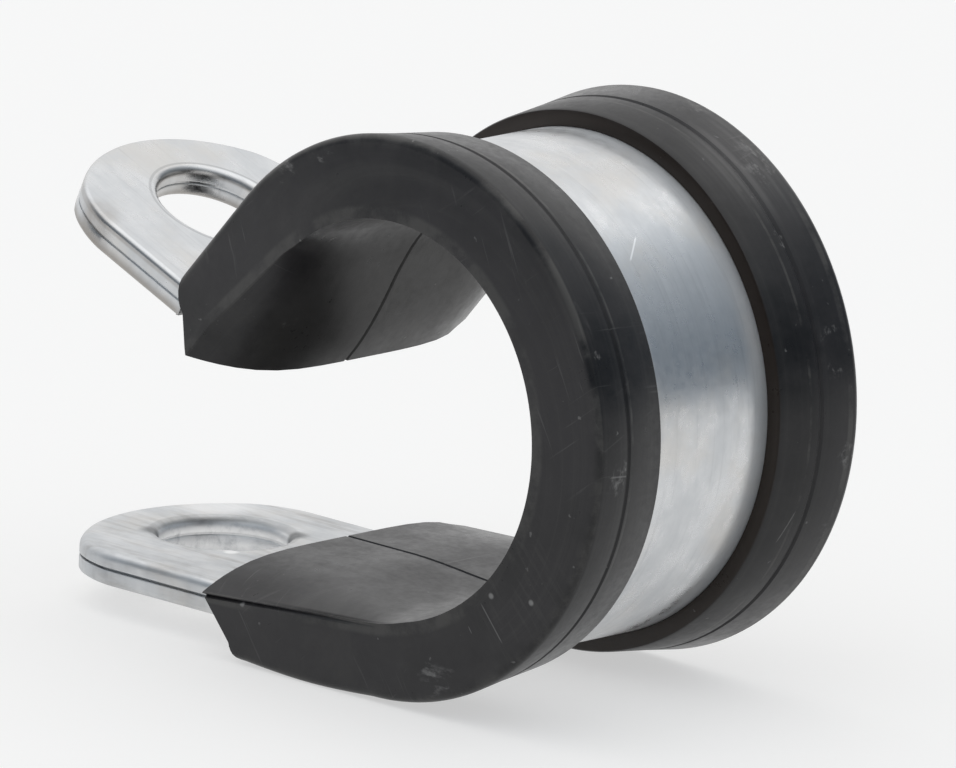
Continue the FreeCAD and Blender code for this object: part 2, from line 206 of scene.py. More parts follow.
def sharp(edge):
    return len(edge.link_faces) == 2 and edge.calc_face_angle() > sharp_turn


def round_over(piece, size, segments, test):
    """In edit mode, round the sharp edges that pass a test."""
    mark(piece, "EDGE", lambda edge: sharp(edge) and test(edge))
    bpy.ops.mesh.bevel(offset_type="OFFSET", offset=size, segments=segments, affect="EDGES",
                       clamp_overlap=False, profile=0.5)


class Ear:
    """Where an ear lies: its start on the strip's middle line, lean, length, hole and flap's side."""

    def __init__(self, start, lean, length, hole_reach, side):
        self.start = start
        self.lean = lean
        self.length = length
        self.side = side
        self.out = Vector((-cos(radians(lean)), 0, sin(radians(lean))))
        self.normal = Vector((sin(radians(lean)), 0, cos(radians(lean))))
        self.hole = start + self.out * hole_reach + self.normal * side * layer_step / 2

    def height(self, point):
        return (point - self.start).dot(self.normal)

    def reach(self, point):
        return (point - self.start).dot(self.out)

    def off_axis(self, point):
        away = point - self.hole
        return (away - self.normal * away.dot(self.normal)).length


bend_start = Vector((ring_radius * cos(radians(ring_end_degrees)), 0,
                     ring_radius * sin(radians(ring_end_degrees))))
arm_way = Vector((-sin(radians(ring_end_degrees)), 0, cos(radians(ring_end_degrees))))
arm_side = Vector((cos(radians(ring_end_degrees)), 0, sin(radians(ring_end_degrees))))
bend_centre = bend_start + arm_way * upper_arm_length + arm_side * bend_radius
lean = radians(upper_ear_degrees)
upper_ear_start = bend_centre - Vector((sin(lean), 0, cos(lean))) * bend_radius
lower_ear = Ear(Vector((foot_centre.x, 0, foot_level)), 0.0, foot_centre.x - lower_tip_x,
                foot_centre.x - lower_hole_x, 1)
upper_ear = Ear(upper_ear_start, upper_ear_degrees, upper_ear_length, upper_hole_reach, -1)

band = rounded_end("steel_strip", lower_tip_x, foot_level, tip_radius, strip_width / 2, strip_thickness)
pull((foot_centre.x - lower_tip_x - end_piece, 0, 0))
turn(foot_centre, foot_degrees, foot_steps)
turn((0, 0, 0), foot_degrees + ring_end_degrees, ring_steps)
pull(arm_way * upper_arm_length)
turn(bend_centre, -bend_degrees, bend_steps)
pull(upper_ear.out * (upper_ear_length - end_piece))
bpy.ops.mesh.delete(type="FACE")
bpy.ops.object.mode_set(mode="OBJECT")

far_end = rounded_end("far_end", -upper_ear_length, 0, tip_radius, strip_width / 2, strip_thickness)
bpy.ops.mesh.delete(type="FACE")
bpy.ops.object.mode_set(mode="OBJECT")
set_at(far_end, upper_ear_start, upper_ear_degrees)
take(band)
far_end.select_set(True)
bpy.ops.object.join()
edit(band, "VERT")
bpy.ops.mesh.select_all(action="SELECT")
bpy.ops.mesh.remove_doubles(threshold=0.004 * mm)
bpy.ops.mesh.normals_make_consistent(inside=False)
bpy.ops.object.mode_set(mode="OBJECT")
for ear in (lower_ear, upper_ear):
    bore(band, ear.hole, hole_radius, ear.normal)


def on_hole(ear, point):
    return abs(ear.off_axis(point) - hole_radius) < close_by


def middle(edge):
    return (edge.verts[0].co + edge.verts[1].co) / 2


def ear_of(point):
    return lower_ear if point.z < ear_divide else upper_ear


def is_hole(edge):
    return all(on_hole(ear_of(vert.co), vert.co) for vert in edge.verts)


def by_hole(edge):
    """Is this edge on an ear's hole, or just beside it?"""
    point = middle(edge)
    return ear_of(point).off_axis(point) < hole_radius + hole_margin


def faces_flap(edge):
    """Is this edge on the ear's inner side, where the folded layer lies on it?"""
    point = middle(edge)
    ear = ear_of(point)
    return ear.reach(point) > 0 and ear.height(point) * ear.side > 0


edit(band, "EDGE")
round_over(band, hole_exit_round, 3, lambda edge: is_hole(edge) and not faces_flap(edge)
           and ear_of(middle(edge)) is lower_ear)
round_over(band, hole_entry_round, 5, lambda edge: is_hole(edge) and not faces_flap(edge)
           and ear_of(middle(edge)) is upper_ear)
round_over(band, seam_round, 2, lambda edge: is_hole(edge) and faces_flap(edge))
round_over(band, seam_round, 2, lambda edge: faces_flap(edge) and abs(middle(edge).y) > 1 * mm
           and not by_hole(edge))
round_over(band, edge_round, 4, lambda edge: not faces_flap(edge)
           and not (by_hole(edge) and ear_of(middle(edge)).reach(middle(edge)) > 0))
bpy.ops.object.mode_set(mode="OBJECT")

# The folded-back layers: the strip's own ends, lying on the ears and trimmed to the same outline.
layers = []
for ear, flap in ((lower_ear, lower_flap_length), (upper_ear, upper_flap_length)):
    layer = rounded_end("folded_layer", -ear.length, ear.side * layer_step, tip_radius, strip_width / 2,
                        strip_thickness)
    pull((flap - end_piece, 0, 0))
    bpy.ops.object.mode_set(mode="OBJECT")
    set_at(layer, ear.start, ear.lean)
    bore(layer, ear.hole, hole_radius, ear.normal)
    edit(layer, "EDGE")
    rim = lower_hole_entry_round if ear is lower_ear else upper_hole_exit_round

    def outer_side(edge, ear=ear):
        return ear.height(middle(edge)) * ear.side > layer_step

    round_over(layer, rim, 5, lambda edge: is_hole(edge) and outer_side(edge))
    round_over(layer, seam_round, 2, lambda edge: is_hole(edge) and not outer_side(edge))
    round_over(layer, seam_round, 2, lambda edge: not outer_side(edge) and not by_hole(edge))
    outside = lower_fold_round if ear is lower_ear else edge_round
    round_over(layer, outside, 5, lambda edge: outer_side(edge) and not by_hole(edge))
    bpy.ops.object.mode_set(mode="OBJECT")
    layers.append(layer)
    # the fold closes the seam a little way in from its edge, further in on the lower ear
    inset = lower_seam_inset if ear is lower_ear else upper_seam_inset
    web = rounded_end("seam_web", -ear.length + inset, ear.side * layer_step / 2, tip_radius - inset,
                      strip_width / 2 - inset, layer_gap + web_overlap)
    pull((flap - end_piece - 2 * inset, 0, 0))
    bpy.ops.object.mode_set(mode="OBJECT")
    set_at(web, ear.start, ear.lean)
    bore(web, ear.hole, hole_radius + web_hole_gain, ear.normal)
    layers.append(web)

take(band)
for layer in layers:
    layer.select_set(True)
bpy.ops.object.join()


def clear_slivers(piece):
    """Melt the tiny edges and empty faces that cutting leaves behind."""
    edit(piece, "VERT")
    bpy.ops.mesh.select_all(action="SELECT")
    bpy.ops.mesh.dissolve_degenerate(threshold=0.003 * mm)
    bpy.ops.object.mode_set(mode="OBJECT")


clear_slivers(band)
bpy.ops.object.shade_smooth_by_angle(angle=band_smooth_turn)
weighted = band.modifiers.new("even shading", "WEIGHTED_NORMAL")
weighted.keep_sharp = True
weighted.weight = 80
bpy.ops.object.modifier_apply(modifier=weighted.name)

# how far along the strip each point lies, so that the rolling marks follow the bends
ring_start_run = foot_centre.x - lower_tip_x + foot_radius * radians(foot_degrees)
arm_start_run = ring_start_run + ring_radius * radians(foot_degrees + ring_end_degrees)
ear_start_run = arm_start_run + upper_arm_length + bend_radius * radians(bend_degrees)


def strip_run(point):
    """Distance along the strip from the lower ear's tip to a point."""
    if point.x < foot_centre.x and point.z < -9 * mm:
        return point.x - lower_tip_x
    if point.z < -8.4 * mm and point.x < 8.4 * mm:
        return foot_centre.x - lower_tip_x + foot_radius * (
            atan2(point.z - foot_centre.z, point.x - foot_centre.x) + pi / 2)
    if hypot(point.x, point.z) < 12.4 * mm and point.x > -9.2 * mm:
        return ring_start_run + ring_radius * (atan2(point.z, point.x) + radians(foot_degrees))
    if upper_ear.reach(point) > 0:
        return ear_start_run + upper_ear.reach(point)
    return arm_start_run + max(0.0, (point - bend_start).dot(arm_way))


def write_run(piece, depth):
    """Keep the distance along the strip, across it and through it on every point, for the material."""
    place = piece.data.attributes.new("along", "FLOAT_VECTOR", "POINT")
    for vert in piece.data.vertices:
        place.data[vert.index].vector = (strip_run(vert.co), vert.co.y, depth(vert.co))


write_run(band, lambda point: ear_of(point).height(point))
zinc_bright = (0.67, 0.68, 0.69, 1)
zinc_dull = (0.575, 0.59, 0.605, 1)
zinc_warm = (0.63, 0.61, 0.58, 1)
zinc_dark = (0.13, 0.135, 0.14, 1)
zinc_brown = (0.26, 0.235, 0.21, 1)
zinc_white = (0.95, 0.95, 0.95, 1)


def fill(material, node, sockets):
    """Give a node's sockets their values, or link them where the value is another node's output."""
    for socket, value in sockets.items():
        if isinstance(value, bpy.types.NodeSocket):
            material.node_tree.links.new(value, node.inputs[socket])
        else:
            node.inputs[socket].default_value = value


def shade(material, kind, sockets, **settings):
    """Add a shader node, fill its sockets, and hand back its first output."""
    made = material.node_tree.nodes.new("ShaderNode" + kind)
    for name, value in settings.items():
        setattr(made, name, value)
    fill(material, made, sockets)
    return made.outputs[0]


def object_place(material):
    """Where on the object a point lies, in metres."""
    return shade(material, "TexCoord", {}).node.outputs["Object"]


def run_place(material):
    """Where along and across the piece a point lies."""
    return shade(material, "Attribute", {}, attribute_name="along").node.outputs["Vector"]


def stretched(material, place, scale):
    """A place scaled differently each way, so that a pattern on it runs long or fine."""
    return shade(material, "VectorMath", {0: place, 1: scale}, operation="MULTIPLY")


def noise(material, place, scale, detail, rough):
    return shade(material, "TexNoise", {"Vector": place, "Scale": scale, "Detail": detail,
                                        "Roughness": rough})


def ramp(material, value, low, high, start=0.0, stop=1.0):
    """Turn low..high of a value into start..stop, smoothly and with its ends held."""
    return shade(material, "MapRange", {0: value, 1: low, 2: high, 3: start, 4: stop},
                 interpolation_type="SMOOTHSTEP")


def times(material, first, second):
    return shade(material, "Math", {0: first, 1: second}, operation="MULTIPLY")


def most(material, first, second):
    return shade(material, "Math", {0: first, 1: second}, operation="MAXIMUM")


def tint(material, amount, first, second):
    """Blend from one colour to another."""
    return shade(material, "Mix", {0: amount, 6: first, 7: second}, data_type="RGBA").node.outputs[2]


def plus(material, first, second):
    return shade(material, "Math", {0: first, 1: second}, operation="ADD")


def size_of(material, value):
    """A number without its sign."""
    return shade(material, "Math", {0: value}, operation="ABSOLUTE")


def vector_math(material, kind, first, second=(0, 0, 0)):
    """SUBTRACT and CROSS_PRODUCT give a vector, DOT_PRODUCT and LENGTH a number."""
    made = shade(material, "VectorMath", {0: first, 1: second}, operation=kind).node
    return made.outputs["Value" if kind in ("DOT_PRODUCT", "LENGTH") else "Vector"]


def line_mark(material, place, start, end, width):
    """A straight scratch between two points."""
    start, end = Vector(start) * mm, Vector(end) * mm
    way = (end - start).normalized()
    away = vector_math(material, "SUBTRACT", place, (start + end) / 2)
    level = size_of(material, vector_math(material, "DOT_PRODUCT", away, way))
    off = vector_math(material, "LENGTH", vector_math(material, "CROSS_PRODUCT", away, way))
    half = (end - start).length / 2
    return times(material, ramp(material, off, width * mm / 2, width * mm / 4),
                 ramp(material, level, half, half * 0.7))


def patch_mark(material, place, centre, size):
    """A soft-edged patch: one at its centre, nought outside."""
    off = vector_math(material, "LENGTH", vector_math(material, "SUBTRACT", place, Vector(centre) * mm))
    return ramp(material, off, size * mm, size * mm * 0.35)


def ring_mark(material, place, ear, radius, width):
    """A fine line round an ear's hole."""
    away = vector_math(material, "SUBTRACT", place, ear.hole)
    off = vector_math(material, "LENGTH", vector_math(material, "CROSS_PRODUCT", away, ear.normal))
    level = vector_math(material, "DOT_PRODUCT", away, ear.normal)
    return times(material, band_mark(material, off, radius, width),
                 band_mark(material, level, 0, 2.4 * mm))


def band_mark(material, value, centre, width):
    """One where a value is at a centre, falling to nought at half the width to each side."""
    off = size_of(material, shade(material, "Math", {0: value, 1: centre}, operation="SUBTRACT"))
    return ramp(material, off, width / 2, width / 5)


def along_parts(material, place):
    """The distances along, across and through the piece, as three numbers."""
    parts = shade(material, "SeparateXYZ", {0: place}).node.outputs
    return parts["X"], parts["Y"], parts["Z"]


zinc = bpy.data.materials.new("zinc_plating")
zinc.use_nodes = True
zinc_place = object_place(zinc)
zinc_run = run_place(zinc)
run_far, run_across, run_deep = along_parts(zinc, zinc_run)
on_lower_ear = ramp(zinc, run_far, 18 * mm, 14 * mm)
on_upper_ear = ramp(zinc, run_far, ear_start_run, ear_start_run + 1 * mm)
cloudy = noise(zinc, zinc_place, 230, 5, 0.6)
blotches = noise(zinc, stretched(zinc, zinc_run, (300, 520, 0)), 1, 5, 0.62)
rolling = noise(zinc, stretched(zinc, zinc_run, (110, 4200, 0)), 1, 3, 0.6)
rubbed = noise(zinc, stretched(zinc, zinc_run, (190, 1500, 900)), 1, 5, 0.62)
ripple = noise(zinc, zinc_place, 380, 1, 0.4)
grain = noise(zinc, zinc_place, 2400, 2, 0.5)
dull = ramp(zinc, blotches, 0.34, 0.68)
face = tint(zinc, dull, zinc_dull, zinc_bright)
face = tint(zinc, times(zinc, ramp(zinc, cloudy, 0.45, 0.7), 0.6), face, zinc_warm)
face = tint(zinc, times(zinc, ramp(zinc, rolling, 0.5, 0.8), 0.14), face, zinc_dark)
drawn_brown = times(zinc, ramp(zinc, rubbed, 0.45, 0.75), on_lower_ear)
face = tint(zinc, times(zinc, drawn_brown, 0.4), face, zinc_brown)
# the upper ear's lower layer is tinted darker brown: partly a duller cut edge, partly painted shade standing
# in for a darker reflection
shaded_lower_layer = times(zinc, ramp(zinc, run_deep, -0.6 * mm, -1.1 * mm), on_upper_ear)
face = tint(zinc, times(zinc, shaded_lower_layer, 0.7), face, zinc_brown)
# painted shade: a dark brown band down the upper ear's rounded edges
shaded_rolled_edge = times(zinc, band_mark(zinc, run_deep, 0.15 * mm, 0.46 * mm), on_upper_ear)
shaded_rolled_edge = times(zinc, shaded_rolled_edge, ramp(zinc, cloudy, 0.3, 0.6, 0.5, 1.0))
face = tint(zinc, times(zinc, shaded_rolled_edge, 0.45), face, zinc_brown)
# painted light: the lower hole's wall is tinted whitish
painted_light_hole_wall = times(zinc, ring_mark(zinc, zinc_place, lower_ear, hole_radius, 0.22 * mm),
                   ramp(zinc, rubbed, 0.25, 0.55))
face = tint(zinc, painted_light_hole_wall, face, zinc_white)
upper_tip_stain = patch_mark(zinc, zinc_place, (-21.9, -7.4, 4.9), 1.9)
upper_tip_stain = times(zinc, upper_tip_stain, ramp(zinc, cloudy, 0.3, 0.6))
face = tint(zinc, times(zinc, upper_tip_stain, 0.6), face, zinc_brown)
# painted shade: a dark line round the upper hole's rim and soft dark shading round the lower hole's rim
shaded_hole_rims = most(zinc, ring_mark(zinc, zinc_place, upper_ear, 3.64 * mm, 0.2 * mm),
            times(zinc, ring_mark(zinc, zinc_place, lower_ear, 3.5 * mm, 0.62 * mm), 0.75))
face = tint(zinc, times(zinc, shaded_hole_rims, 0.62), face, zinc_dark)
for hole_corner in ((-21.53, -2.38, -11.1), (-16.77, 2.38, -11.1)):
    shadow = patch_mark(zinc, zinc_place, hole_corner, 1.0)
    face = tint(zinc, times(zinc, shadow, 0.8), face, zinc_dark)

# scratches and a small pale spot from handling, and a painted highlight: both ends and width, or centre, size
# and amount
scratches = [((7.95, -0.87, 9.38), (8.9, -2.23, 8.48), 0.13), ((-17.2, -5.6, 5.1), (-18.6, -2.9, 5.75), 0.07),
             ((-19.4, -4.9, 5.9), (-20.6, -1.4, 6.3), 0.06)]
for low_end, high_end, width in scratches:
    scratch = line_mark(zinc, zinc_place, low_end, high_end, width)
    face = tint(zinc, times(zinc, scratch, 0.85), face, zinc_white)
# the second patch, on the lower ear's far tip, is a painted highlight
for centre, size, amount in (((-16.18, -2.57, -10.85), 0.5, 0.8), ((-23.2, 3.6, -10.95), 2.6, 0.5)):
    face = tint(zinc, times(zinc, patch_mark(zinc, zinc_place, centre, size), amount), face, zinc_white)

# the lower ear is duller, and beside the lips the rubber has rubbed the plating matt
zinc_rough = plus(zinc, ramp(zinc, blotches, 0.3, 0.7, 0.35, 0.26), ramp(zinc, grain, 0.3, 0.7, -0.03, 0.03))
zinc_rough = plus(zinc, zinc_rough, times(zinc, on_lower_ear, 0.16))
beside_lips = ramp(zinc, size_of(zinc, run_across), 2.7 * mm, 4.1 * mm)
beside_lips = times(zinc, beside_lips, ramp(zinc, most(zinc, on_lower_ear, on_upper_ear), 1.0, 0.0))
zinc_rough = plus(zinc, zinc_rough, times(zinc, beside_lips, 0.18))
zinc_metal = ramp(zinc, beside_lips, 0.0, 1.0, 1.0, 0.4)
zinc_bump = shade(zinc, "Bump", {"Strength": 0.05, "Distance": 0.04 * mm, "Height": ripple})
fill(zinc, zinc.node_tree.nodes["Principled BSDF"],
     {"Metallic": zinc_metal, "Base Color": face, "Roughness": zinc_rough, "Normal": zinc_bump})
band.data.materials.append(zinc)
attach(band, "root")
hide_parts("steel_band")


# Rubber liner: one moulded black profile, pushed over the strip and wrapped round with it.
# A crowned pad lines the bore, and two lips close over the strip's edges and leave its middle bare.
# Its section is traced from one point, turned round the ring, and drawn out along both arms.
liner_half = 9.35 * mm
lip_side_half = 8.9 * mm
bare_half = 3.95 * mm
lip_rise = 1.4 * mm
lip_inner_rise = 0.85 * mm
ring_pad = 2.0 * mm
ring_pad_edge = 1.8 * mm
lower_pad = 2.4 * mm
upper_pad = 3.68 * mm
lower_pad_edge = 0.85 * mm
upper_pad_edge = 0.95 * mm
upper_far_gain = 0.2 * mm
groove_drift = 1.05 * mm
lip_swell = 0.2 * mm
lip_swell_length = 8.6 * mm
far_extra = 0.45 * mm
far_lip_shift = 0.35 * mm
flash_line = 0.2 * mm
slot_clearance = 0.03 * mm
pad_groove_depth = 0.2 * mm
lip_groove_at = 6.55 * mm
lip_groove = 0.3 * mm
lip_groove_depth = 0.09 * mm
lower_end_reach = 10.1 * mm
upper_end_reach = 7.3 * mm
lower_lip_round = 0.8 * mm
upper_lip_round = 1.5 * mm
lower_end_spare = 4 * mm
upper_end_spare = 5 * mm
end_slant = radians(34)
crown_slant = radians(22)
ring_blunt = 8
lower_blunt = 4.5
upper_blunt = 4.2
upper_far_blunt = 1.0
lip_corner_round = 0.4 * mm
lip_inner_round = 0.14 * mm
block_half = 12 * mm
liner_smooth_turn = radians(28)
not_here = -99 * mm
half_strip = strip_thickness / 2


def crown(across, top, rim, blunt):
    """Height of the pad over the strip at a place across its width: a plain edge, then a low arch."""
    share = min(1.0, abs(across) / liner_half)
    return rim + (top - rim) * (1 - share ** blunt)


def ring_height(across):
    return crown(across, ring_pad, ring_pad_edge, ring_blunt)


pad_places = [9.35, 9.3, 9.2, 9.0, 8.7, 8.2, 7.5, 6.6, 5.5, 4.2, 2.8, 1.4, 0.12]
pad_side = [(place * mm, half_strip + ring_height(place * mm)) for place in pad_places]
side_line = half_strip + ring_pad_edge
pad_side = [(liner_half - 0.02 * mm, side_line - 0.28 * mm), (liner_half - 0.01 * mm, side_line - 0.15 * mm),
            (liner_half, side_line - 0.04 * mm)] + pad_side
lip_slope = (lip_rise - lip_inner_rise) / (lip_side_half - bare_half)


def lip_top(across):
    """Height of the lip's outer face, which falls a little towards the bare strip."""
    return -(half_strip + lip_inner_rise + (across - bare_half) * lip_slope)


lip_corner = [(lip_side_half - lip_corner_round * (1 - cos(turned)),
               lip_top(lip_side_half) + lip_corner_round * (1 - sin(turned)))
              for turned in map(radians, (0, 22, 45, 68, 90))]
half_profile = [*reversed(pad_side), *lip_corner,
                (lip_groove_at + lip_groove / 2, lip_top(lip_groove_at + lip_groove / 2)),
                (lip_groove_at + lip_groove / 6, lip_top(lip_groove_at) + lip_groove_depth),
                (lip_groove_at - lip_groove / 6, lip_top(lip_groove_at) + lip_groove_depth),
                (lip_groove_at - lip_groove / 2, lip_top(lip_groove_at - lip_groove / 2)),
                (bare_half + lip_inner_round, lip_top(bare_half + lip_inner_round)),
                (bare_half + lip_inner_round * 0.3, lip_top(bare_half) + lip_inner_round * 0.3),
                (bare_half, lip_top(bare_half) + lip_inner_round),
                (bare_half, -half_strip - slot_clearance),
                (strip_width / 2 + slot_clearance, -half_strip - slot_clearance),
                (strip_width / 2 + slot_clearance, half_strip + slot_clearance)]


def far_place(across, rise):
    """The rubber's far side is moulded a little wider than its near side, and the strip's trim narrower."""
    if abs(across - strip_width / 2 - slot_clearance) < 1e-6:
        return across - far_trim
    if rise < -half_strip and across < 7 * mm:
        return across + far_lip_shift
    return across + far_extra if across > 7.6 * mm else across


profile = [(far_place(across, rise), rise) for across, rise in half_profile]
profile += [(-across, rise) for across, rise in reversed(half_profile)]
profile.append((0.0, half_strip + ring_height(0) - pad_groove_depth))


def traced_face(points):
    """A flat face, made by drawing one point along an outline. The object is left in edit mode."""
    bpy.ops.object.select_all(action="DESELECT")
    bpy.ops.mesh.primitive_plane_add(size=1 * mm, location=points[0])
    piece = bpy.context.object
    bpy.ops.object.transform_apply(location=True, rotation=True, scale=True)
    bpy.ops.object.mode_set(mode="EDIT")
    bpy.ops.mesh.select_mode(type="VERT")
    bpy.ops.mesh.select_all(action="SELECT")
    bpy.ops.mesh.merge(type="CENTER")
    bpy.ops.mesh.select_all(action="SELECT")
    for start, stop in zip(points, points[1:]):
        pull([there - here for here, there in zip(start, stop)])
    bpy.ops.mesh.select_all(action="SELECT")
    bpy.ops.mesh.edge_face_add()
    return piece


liner = traced_face([(foot_centre.x, across, foot_level + rise) for across, rise in profile])
liner.name = "rubber_lining"
bpy.ops.mesh.select_mode(type="FACE")
bpy.ops.mesh.select_all(action="SELECT")
turn(foot_centre, foot_degrees, foot_steps)
turn((0, 0, 0), foot_degrees + ring_end_degrees, ring_steps)


def draw_out(way, length, steps):
    """Draw the section out along an arm in short steps."""
    for _ in range(steps):
        pull(way * (length / steps))


draw_out(arm_way, upper_end_reach + upper_end_spare, 24)
mark(liner, "FACE", lambda face: abs(face.normal.x) > 0.99 and face.calc_center_median().z < -8 * mm
     and abs(face.calc_center_median().x - foot_centre.x) < 0.01 * mm)
draw_out(Vector((-1, 0, 0)), lower_end_reach + lower_end_spare, 28)
bpy.ops.mesh.select_all(action="SELECT")
bpy.ops.mesh.normals_make_consistent(inside=False)
bpy.ops.object.mode_set(mode="OBJECT")


def smooth(value):
    held = min(1.0, max(0.0, value))
    return held * held * (3 - 2 * held)


def section_at(point):
    """The way towards the cable, the height over the strip's middle, and how far past each arm's start."""
    if point.z < -7 * mm and point.x < foot_centre.x:
        return Vector((0, 0, 1)), point.z - foot_level, foot_centre.x - point.x, not_here
    along_arm = (point - bend_start).dot(arm_way)
    if along_arm > 0 and point.x < -6 * mm and point.z > -8 * mm:
        return -arm_side, (bend_start - point).dot(arm_side), not_here, along_arm
    from_foot = Vector((point.x - foot_centre.x, 0, point.z - foot_centre.z))
    foot_turn = atan2(from_foot.z, from_foot.x) + pi / 2
    if point.z < -4 * mm and 0 <= foot_turn < radians(foot_degrees) - 1e-4:
        return -from_foot.normalized(), foot_radius - from_foot.length, -foot_radius * foot_turn, not_here
    from_middle = Vector((point.x, 0, point.z))
    left_to_turn = radians(ring_end_degrees) - atan2(point.z, point.x)
    return -from_middle.normalized(), ring_radius - from_middle.length, not_here, -ring_radius * left_to_turn


def blend(share, first, second):
    return first + share * (second - first)


# from the ring out along each arm, the pad's section changes and the lips swell
for vert in liner.data.vertices:
    inward, height, past_lower, past_upper = section_at(vert.co)
    across = abs(vert.co.y) - (far_extra if vert.co.y > 7.6 * mm else 0)
    if past_lower > past_upper:
        share, edge_share = smooth((past_lower + 1 * mm) / (7 * mm)), (past_lower + 3 * mm) / (14 * mm)
        top, rim, blunt = lower_pad, lower_pad_edge, lower_blunt
    else:
        share, edge_share = smooth((past_upper + 4.5 * mm) / (11 * mm)), (past_upper + 2 * mm) / (8 * mm)
        if height > 0 and across < 0.2 * mm:
            vert.co.y -= groove_drift * smooth((past_upper + 5.5 * mm) / (7 * mm))
        far_share = smooth(vert.co.y / (9 * mm))
        top, rim = upper_pad, upper_pad_edge + upper_far_gain * far_share
        blunt = upper_blunt + upper_far_blunt * far_share
    edge_share = min(1.0, max(0.0, edge_share))
    rise = crown(across, blend(share, ring_pad, top), blend(edge_share, ring_pad_edge, rim),
                 blend(share, ring_blunt, blunt)) - ring_height(across)
    if height > side_line - 0.3 * mm or (across < 9 * mm and height > half_strip + 0.2 * mm):
        at_flash = abs(height - side_line + 0.15 * mm) < close_by and across > 9.2 * mm
        vert.co += inward * rise
        if at_flash and past_lower > past_upper:
            vert.co.y -= flash_line * edge_share * (1 if vert.co.y > 0 else -1)
    elif height < -half_strip - 0.3 * mm and past_lower > 0:
        vert.co -= inward * lip_swell * sin(pi * min(1.0, past_lower / lip_swell_length))


def trim_block(way, normal, base, reach, nose_height, lip_round):
    """The block of air past an arm's slanted end, with a rounded corner left on the lips."""
    def at(along, height):
        return base + way * along + normal * height

    nose = reach + nose_height * tan(end_slant)
    lip_face = -half_strip - lip_rise
    corners = [at(nose - 5 * mm * tan(crown_slant), nose_height + 5 * mm), at(nose, nose_height)]
    lip_end = reach + (lip_face + lip_round) * tan(end_slant)
    for turned in map(radians, range(0, 91, 15)):
        corners.append(at(lip_end - lip_round * (1 - cos(turned)), lip_face + lip_round * (1 - sin(turned))))
    corners.append(at(lip_end - lip_round, lip_face - 2 * mm))
    corners.append(at(reach + 9 * mm, lip_face - 2 * mm))
    corners.append(at(reach + 9 * mm, nose_height + 5 * mm))
    block = traced_face([(corner.x, -block_half, corner.z) for corner in corners])
    pull((0, 2 * block_half, 0))
    bpy.ops.mesh.select_all(action="SELECT")
    bpy.ops.mesh.normals_make_consistent(inside=False)
    bpy.ops.object.mode_set(mode="OBJECT")
    return block


cut_away(liner, trim_block(Vector((-1, 0, 0)), Vector((0, 0, 1)), lower_ear.start, lower_end_reach,
                           half_strip + lower_pad_edge, lower_lip_round))
cut_away(liner, trim_block(arm_way, -arm_side, bend_start, upper_end_reach,
                           half_strip + upper_pad_edge, upper_lip_round))

# room for the band to turn out of the rubber into its upper ear
room_start = bend_start + arm_way * (upper_arm_length - 0.2 * mm)
bpy.ops.object.select_all(action="DESELECT")
room_middle = room_start + arm_way * 3 * mm + arm_side * (4 * mm - half_strip - slot_clearance)
bpy.ops.mesh.primitive_cube_add(size=1, location=room_middle,
                                rotation=(0, atan2(-arm_way.z, arm_way.x), 0))
room = bpy.context.object
room.scale = (6 * mm, strip_width + 2 * slot_clearance, 8 * mm)
bpy.ops.object.transform_apply(location=True, rotation=True, scale=True)
cut_away(liner, room)

clear_slivers(liner)
bpy.ops.object.shade_smooth_by_angle(angle=liner_smooth_turn)
write_run(liner, lambda point: section_at(point)[1])

rubber_black = (0.0075, 0.0075, 0.0085, 1)
rubber_worn = (0.023, 0.0215, 0.0225, 1)
# the pale bloom colour, which on the pads is also painted sheen
rubber_bloom_and_sheen = (0.044, 0.041, 0.044, 1)
# pale dust colour, also used for painted light on the upper pad and painted highlights along the edges
rubber_dust_and_painted_light = (0.10, 0.096, 0.09, 1)
rubber_brown = (0.024, 0.014, 0.008, 1)
chalk = (0.36, 0.35, 0.34, 1)
handled_grey = (0.21, 0.20, 0.195, 1)
rubber = bpy.data.materials.new("moulded_rubber")
rubber.use_nodes = True
rubber_place = object_place(rubber)
rubber_run = run_place(rubber)
rubber_far, rubber_across, rubber_deep = along_parts(rubber, rubber_run)
rubber_off = size_of(rubber, rubber_across)
mottle = noise(rubber, rubber_place, 330, 6, 0.65)
patches = noise(rubber, rubber_place, 110, 4, 0.6)
fine = noise(rubber, rubber_place, 2600, 4, 0.7)
drawn_marks = noise(rubber, stretched(rubber, rubber_run, (90, 2600, 0)), 1, 3, 0.6)
specks = ramp(rubber, noise(rubber, rubber_place, 1900, 2, 0.5), 0.73, 0.80)
smears = noise(rubber, stretched(rubber, rubber_run, (240, 130, 160)), 1, 6, 0.68)
on_pad = times(rubber, ramp(rubber, rubber_deep, 0.9 * mm, 1.3 * mm),
               ramp(rubber, rubber_off, 9.25 * mm, 9.1 * mm))
on_side = times(rubber, ramp(rubber, rubber_off, 8.75 * mm, 8.95 * mm), ramp(rubber, on_pad, 1.0, 0.0))
on_far_rim = ramp(rubber, rubber_across, 6.5 * mm, 6.8 * mm)
skin = tint(rubber, ramp(rubber, mottle, 0.35, 0.68), rubber_black, rubber_worn)
# dust bloom on the sides and the far rim; on the pads the pale bloom is partly dust and partly painted sheen
bloom_and_painted_sheen = most(rubber, times(rubber, on_far_rim, 0.5), times(rubber, on_pad, 0.6))
bloom_and_painted_sheen = most(rubber, times(rubber, on_side, 0.55), bloom_and_painted_sheen)
skin = tint(rubber, times(rubber, bloom_and_painted_sheen, ramp(rubber, patches, 0.35, 0.65, 0.25, 1.0)), skin, rubber_bloom_and_sheen)
smeared = times(rubber, most(rubber, times(rubber, on_far_rim, 0.42), 0.18), ramp(rubber, smears, 0.46, 0.70))
skin = tint(rubber, smeared, skin, rubber_dust_and_painted_light)
